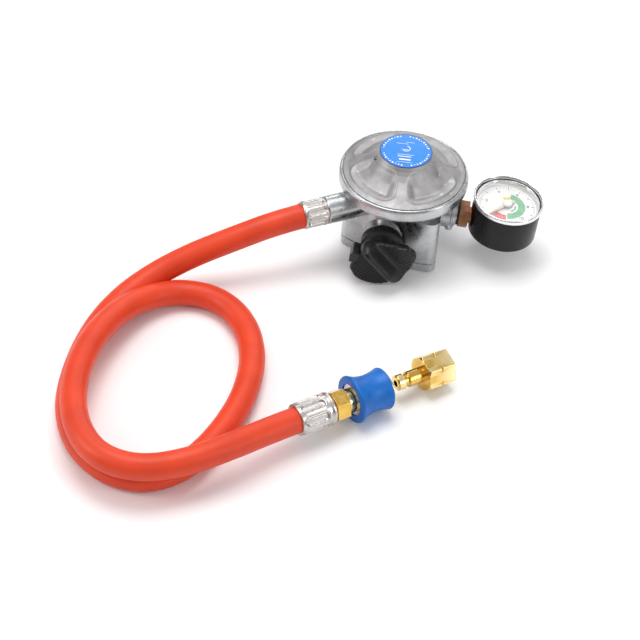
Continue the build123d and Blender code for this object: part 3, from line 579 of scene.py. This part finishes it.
lathe("knob_skirt",
      [(26.4, 4.2), (26.4, 12.6)] + dense(26.8, 31.2, 13.0, 14)
      + [(32.4, 12.7), (33.6, 11.2), (38.5, 10.8)],
      KNOB, black_plastic, "knob", ("knob",), steps=432, size=0.4, shape=ribbed_skirt)

# outline of the grip round the knob's axis: (degrees, radius), level +X is 0
GRIP_START = -60
GRIP_OUTLINE = [(GRIP_START, 15.5), (-33, 18.8), (-8, 19.6), (18, 22.2), (30, 20.0), (48, 15.2),
                (75, 12.2), (105, 11.8), (140, 14.4), (165, 13.0), (190, 15.0), (207, 19.6),
                (228, 20.4), (250, 20.0), (270, 19.8), (287, 19.6), (300, 15.5)]
CREST_ANGLE = radians(-48)
CREST_HEIGHT = 9.4
GRIP_FACE = 42.2
GRIP_RIB_PITCH, GRIP_RIB_HEIGHT = 1.9, 0.32


def grip_front(x, y):
    """How far the grip's front reaches: a smooth slanting crest between two ribbed finger hollows."""
    off = -x * sin(CREST_ANGLE) + y * cos(CREST_ANGLE)
    run = x * cos(CREST_ANGLE) + y * sin(CREST_ANGLE)
    crest = exp(-(abs(off + 0.02 * run) / 4.0) ** 2.6) * (1 - 0.35 * step_blend(abs(run), 9, 18))
    wing = step_blend(abs(off), 4.5, 8.0) * (1 - step_blend(hypot(x, y), 19.2, 20.6) * 0.4)
    ribs = GRIP_RIB_HEIGHT * (0.5 + 0.5 * cos(2 * pi * run / GRIP_RIB_PITCH)) * wing
    return GRIP_FACE + CREST_HEIGHT * crest + 2.4 * (abs(off) / 19) ** 2 + ribs


def make_grip():
    """The knob's winged grip, from its back edge round its side and in over its front."""
    steps, rings = 540, 90
    verts = []
    for i in range(steps):
        angle = GRIP_START + 360 * i / steps
        limit = along_table(GRIP_OUTLINE, angle)
        spin = radians(angle)
        column = [(0.45 * limit, 35.5), (0.8 * limit, 36.4), (0.93 * limit, 38.4),
                  (0.985 * limit, 40.2)]
        for j in range(rings, 0, -1):
            reach = limit * j / rings
            front = grip_front(reach * cos(spin), reach * sin(spin))
            column.append((reach, front - 1.5 * step_blend(reach, limit - 1.5, limit) ** 2))
        verts += [(r * cos(spin), r * sin(spin), z) for r, z in column]
    count = rings + 4
    faces = ring_faces(steps, count)
    tip = len(verts)
    verts.append((0, 0, grip_front(0, 0)))
    faces += [(i * count + count - 1, (i + 1) % steps * count + count - 1, tip) for i in range(steps)]
    return place("knob_grip", verts, faces, KNOB, black_plastic, "knob", smooth=50)


make_grip()
prism("knob_tab", [(-18.6, -4.6), (-12.4, -4.6), (-12.4, 2.6), (-16.2, 3.6), (-18.0, 1.0)],
      33.0, 43.0, KNOB, black_plastic, "knob", bevel=0.6)

# ------------------------------------------------------------------ gauge
GAUGE_R = 20.6
BEZEL_R = 21.4
CASE_LOW, CASE_TOP = -7.5, 15.0
DIAL_TOP = 11.6
CAP_LEVEL = 12.75
LENS_LOW = CASE_TOP + 0.6
CASE_INNER_R = GAUGE_R - 1.2
DIAL_R = 19.3
PRINT_LEVEL = DIAL_TOP + 0.02
DIAL_START, DIAL_SWEEP = 225, 270
TICKS, TICKS_R = 50, 16.8
DIGITS, DIGITS_R = 5, 12.6
lathe("gauge_shell", [(CASE_LOW, 0), (CASE_LOW, GAUGE_R), (CASE_TOP, GAUGE_R), (CASE_TOP, CASE_INNER_R),
                      (CASE_LOW + 1.5, CASE_INNER_R), (CASE_LOW + 1.5, 0)],
      GAUGE, case_black, "root", ("gauge_case",), steps=160, size=1.2)
lathe("gauge_rim", [(CASE_TOP + 0.05, 20.1), (CASE_TOP + 0.05, 21.0), (CASE_TOP + 0.4, BEZEL_R),
                    (17.3, BEZEL_R), (18.0, 21.0), (18.0, 20.3), (17.2, 20.0), (16.2, 20.0)],
      GAUGE, bezel_metal, "root", ("gauge_bezel",), steps=160, size=0.35)
lathe("gauge_lens_dome", [(LENS_LOW, 0), (LENS_LOW, 19.9), (LENS_LOW + 1.0, 19.9), (LENS_LOW + 1.6, 17.0),
                          (LENS_LOW + 2.0, 11.0), (LENS_LOW + 2.1, 5.0), (LENS_LOW + 2.1, 0)],
      GAUGE, lens_glass, "root", ("gauge_lens",), steps=128, size=0.2)
lathe("dial_plate", [(DIAL_TOP - 0.6, 1.4), (DIAL_TOP - 0.6, DIAL_R), (DIAL_TOP, DIAL_R), (DIAL_TOP, 1.4),
                     (DIAL_TOP - 0.6, 1.4)],
      GAUGE, dial_paint, "root", ("gauge_dial",), steps=128, size=0.05)
lathe("inner_reflector", [(DIAL_TOP, 19.35), (15.5, 19.35), (15.5, 18.9), (DIAL_TOP + 0.05, 17.6),
                          (DIAL_TOP, 19.35)],
      GAUGE, bezel_metal, "root", steps=128, size=0.05)
lathe("pointer_hub", [(CAP_LEVEL, 0.82), (CAP_LEVEL, 2.9), (CAP_LEVEL + 1.1, 2.9), (CAP_LEVEL + 1.6, 2.2),
                      (CAP_LEVEL + 1.6, 0)],
      GAUGE, white_paint, "pointer", ("pointer_cap",), steps=64, size=0.3)
# each coloured band's start and end in degrees, and its inner and outer radius
ZONES = [("yellow", zone_yellow, 80, 112, 3.2, 7.6), ("green", zone_green, -86, 79, 6.6, 11.0),
         ("green_inner", zone_green, -60, 10, 4.6, 5.6), ("red", zone_red, -132, -90, 8.6, 12.6)]
for zone, zone_paint, start, end, inner, outer in ZONES:
    sector(f"dial_zone_{zone}", inner, outer, start, end, PRINT_LEVEL, GAUGE, zone_paint, "root")
for tick in range(TICKS + 1):
    angle = DIAL_START - tick * DIAL_SWEEP / TICKS
    reach, width = (2.2, 1.0) if tick % 5 == 0 else (1.1, 0.5)
    sector(f"dial_tick_{tick:02d}", TICKS_R - reach, TICKS_R, angle - width / 2, angle + width / 2,
           PRINT_LEVEL, GAUGE, ink, "root")
for digit in range(DIGITS + 1):
    angle = radians(DIAL_START - digit * DIAL_SWEEP / DIGITS)
    curve = bpy.data.curves.new(f"dial_digit_{digit}", "FONT")
    curve.body = str(digit * 2)
    curve.size = 3.0 * MM
    curve.extrude = 0.02 * MM
    curve.align_x = "CENTER"
    curve.align_y = "CENTER"
    curve.materials.append(ink)
    text = add_object(f"dial_digit_{digit}", curve)
    spot = GAUGE @ Matrix.Translation((DIGITS_R * cos(angle), DIGITS_R * sin(angle), DIAL_TOP + 0.06))
    spot.translation = spot.translation * MM
    text.matrix_world = spot
    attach(text, "root")

# ------------------------------------------------------------------ floor and light
FLOOR = 4
floor_white = surface("floor_white", (0.93, 0.93, 0.93), (0.91, 0.91, 0.91), rough=0.7, spread=0.05,
                      mottle=3, grain=60, depth=0.01, soften=0)
floor_mesh = bpy.data.meshes.new("floor")
floor_mesh.from_pydata([(-FLOOR, -FLOOR, 0), (FLOOR, -FLOOR, 0), (FLOOR, FLOOR, 0), (-FLOOR, FLOOR, 0)],
                       [], [(0, 1, 2, 3)])
floor_mesh.materials.append(floor_white)
floor = add_object("floor", floor_mesh)


def softbox(name, place_at, aim, size, power):
    """A rectangular studio light at a place, turned to face its aim."""
    light = bpy.data.lights.new(name, "AREA")
    light.shape = "RECTANGLE"
    light.size, light.size_y = size
    light.energy = power
    lamp = add_object(name, light)
    lamp.location = place_at
    lamp.rotation_euler = (Vector(aim) - Vector(place_at)).to_track_quat("-Z", "Y").to_euler()


softbox("top_box", (-0.15, 0.15, 1.2), (-0.05, -0.1, 0), (0.7, 0.7), 8.5)
softbox("left_box", (-1.1, -0.4, 0.6), (-0.05, -0.1, 0), (0.4, 0.7), 4.5)
softbox("right_box", (1.0, -0.5, 0.5), (0, -0.1, 0), (0.3, 0.7), 3.0)
softbox("back_strip", (0.2, 1.0, 0.5), (0, 0, 0), (1.0, 0.2), 3.0)
world = bpy.data.worlds.new("studio")
world.use_nodes = True
world_nodes, world_links = world.node_tree.nodes, world.node_tree.links
sky = world_nodes.new("ShaderNodeTexCoord")
split = world_nodes.new("ShaderNodeSeparateXYZ")
room = world_nodes.new("ShaderNodeValToRGB")
room.color_ramp.interpolation = "EASE"
# brightness by height, from straight below at 0 to straight above at 1
stops = [(0.0, 0.62), (0.5, 0.80), (0.56, 0.16), (0.66, 0.30), (0.80, 0.95), (1.0, 0.80)]
while len(room.color_ramp.elements) < len(stops):
    room.color_ramp.elements.new(0.5)
for element, (position, value) in zip(room.color_ramp.elements, stops):
    element.position = position
    element.color = (value, value, value * 1.01, 1)
height = world_nodes.new("ShaderNodeMapRange")
height.inputs["From Min"].default_value = -1
world_links.new(sky.outputs["Generated"], split.inputs["Vector"])
world_links.new(split.outputs["Z"], height.inputs["Value"])
world_links.new(height.outputs["Result"], room.inputs["Fac"])
world_links.new(room.outputs["Color"], world_nodes["Background"].inputs["Color"])
world_nodes["Background"].inputs["Strength"].default_value = 0.8
bpy.context.scene.world = world
bpy.context.scene.view_settings.view_transform = "Standard"
